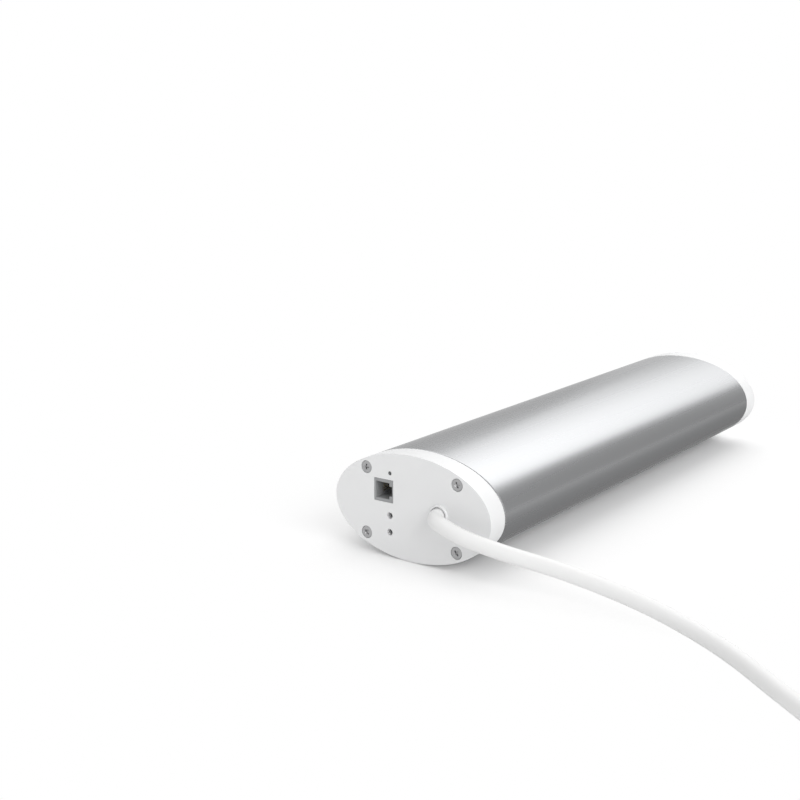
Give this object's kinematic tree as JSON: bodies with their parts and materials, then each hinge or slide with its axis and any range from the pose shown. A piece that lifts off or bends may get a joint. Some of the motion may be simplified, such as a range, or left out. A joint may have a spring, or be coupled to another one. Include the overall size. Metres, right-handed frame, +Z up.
{
  "type": "motorized curtain track drive motor",
  "caption": "Oval drive motor of a motorized curtain track: a square output shaft and twist lock at one end, a cable and sockets at the other.",
  "frame": {"origin": "under the middle of the motor unit, on the surface that it lies on", "axes": "+Y along the body towards the output shaft, +X across its wide side, +Z up"},
  "size_m": [0.3966, 0.417, 0.05],
  "materials": {
    "anodised_aluminium": "satin, lengthwise",
    "white_plastic": "fine matte",
    "cord_white": "soft sheath",
    "plug_white": "matte",
    "jack_grey": "matte",
    "screw_steel": "plain",
    "shaft_steel": "turned and milled",
    "lock_steel": "stamped",
    "plate_steel": "zinc plated",
    "can_steel": "zinc plated",
    "core_steel": "laminated",
    "gear_plastic": "moulded",
    "pinion_brass": "cut",
    "bearing_bronze": "sintered",
    "copper": "enamelled",
    "contact_gold": "plated",
    "pin_nickel": "plated",
    "magnet_ferrite": "sintered",
    "brush_carbon": "pressed",
    "black_plastic": "moulded",
    "black_rubber": "matte",
    "board_green": "solder mask",
    "lead_red": "sheath",
    "lead_brown": "sheath",
    "terminal_green": "moulded",
    "light_clear": "polished",
    "button_grey": "moulded",
    "shield_tin": "tinned",
    "transformer_yellow": "tape"
  },
  "bodies": {
    "motor_unit": {"housing_tube": "anodised_aluminium", "drive_end_cap": "white_plastic", "service_end_cap": "white_plastic", "drive_cap_screws": "screw_steel", "service_cap_screws": "screw_steel", "lock_ring_retainer": "plate_steel", "shaft_bushing": "bearing_bronze", "gearbox_front_plate": "plate_steel", "gearbox_rear_plate": "plate_steel", "front_plate_bushing": "bearing_bronze", "gearbox_pillars": "pinion_brass", "gearbox_screws": "screw_steel", "intermediate_axle": "shaft_steel", "motor_can": "can_steel", "motor_end_bell": "black_plastic", "brushes": "brush_carbon", "motor_magnets": "magnet_ferrite", "motor_bearings": "bearing_bronze", "motor_screws": "screw_steel", "motor_damper": "black_rubber", "encoder_board": "board_green", "main_board": "board_green", "terminal_block": "terminal_green", "transformer_core": "magnet_ferrite", "transformer_winding": "transformer_yellow", "capacitors": "black_plastic", "relay": "black_plastic", "control_chips": "black_plastic", "radio_module": "shield_tin", "motor_connector": "white_plastic", "motor_leads": "lead_red", "mains_conductors": "lead_brown", "modular_jack": "jack_grey", "jack_contacts": "contact_gold", "light_guide": "light_clear", "status_light": "light_clear", "switch_bodies": "black_plastic", "interface_board": "board_green", "interface_board_screws": "screw_steel", "cable_gland": "white_plastic", "supply_cord": "cord_white", "cord_coil": "cord_white", "cord_tail": "cord_white", "plug_strain_relief": "plug_white", "plug_body": "plug_white", "plug_pins": "pin_nickel", "plug_earth_clips": "pin_nickel"},
    "output_drive": {"output_shaft": "shaft_steel", "output_gear": "gear_plastic"},
    "intermediate_stage": {"intermediate_gear": "gear_plastic"},
    "rotor": {"motor_shaft": "shaft_steel", "motor_pinion": "pinion_brass", "armature_core": "core_steel", "armature_windings": "copper", "commutator": "copper", "encoder_magnet": "magnet_ferrite"},
    "twist_lock": {"lock_ring": "lock_steel"},
    "set_plunger": {"set_button": "button_grey"},
    "mode_plunger": {"mode_button": "button_grey"}
  },
  "joints": [
    {"name": "output_turn", "type": "hinge", "parent": "motor_unit", "child": "output_drive", "pos_m": [0, 0.13, 0.025], "axis": [0, 1, 0], "continuous": true},
    {"name": "intermediate_turn", "type": "hinge", "parent": "motor_unit", "child": "intermediate_stage", "pos_m": [0, 0.108, 0.037], "axis": [0, 1, 0], "continuous": true},
    {"name": "rotor_turn", "type": "hinge", "parent": "motor_unit", "child": "rotor", "pos_m": [0, 0.06, 0.025], "axis": [0, 1, 0], "continuous": true},
    {"name": "lock_turn", "type": "hinge", "parent": "motor_unit", "child": "twist_lock", "pos_m": [0, 0.135, 0.025], "axis": [0, 1, 0], "range_deg": [0, 29]},
    {"name": "set_press", "type": "slide", "parent": "motor_unit", "child": "set_plunger", "axis": [0, 1, 0], "range_m": [0, 0.0004], "stiffness_N_per_m": 1500, "springref_m": -0.001},
    {"name": "mode_press", "type": "slide", "parent": "motor_unit", "child": "mode_plunger", "axis": [0, 1, 0], "range_m": [0, 0.0004], "stiffness_N_per_m": 1500, "springref_m": -0.001}
  ],
  "couplings": [
    {"joint": "intermediate_turn", "follows": "output_turn", "ratio": -3},
    {"joint": "rotor_turn", "follows": "output_turn", "ratio": 11.4}
  ]
}
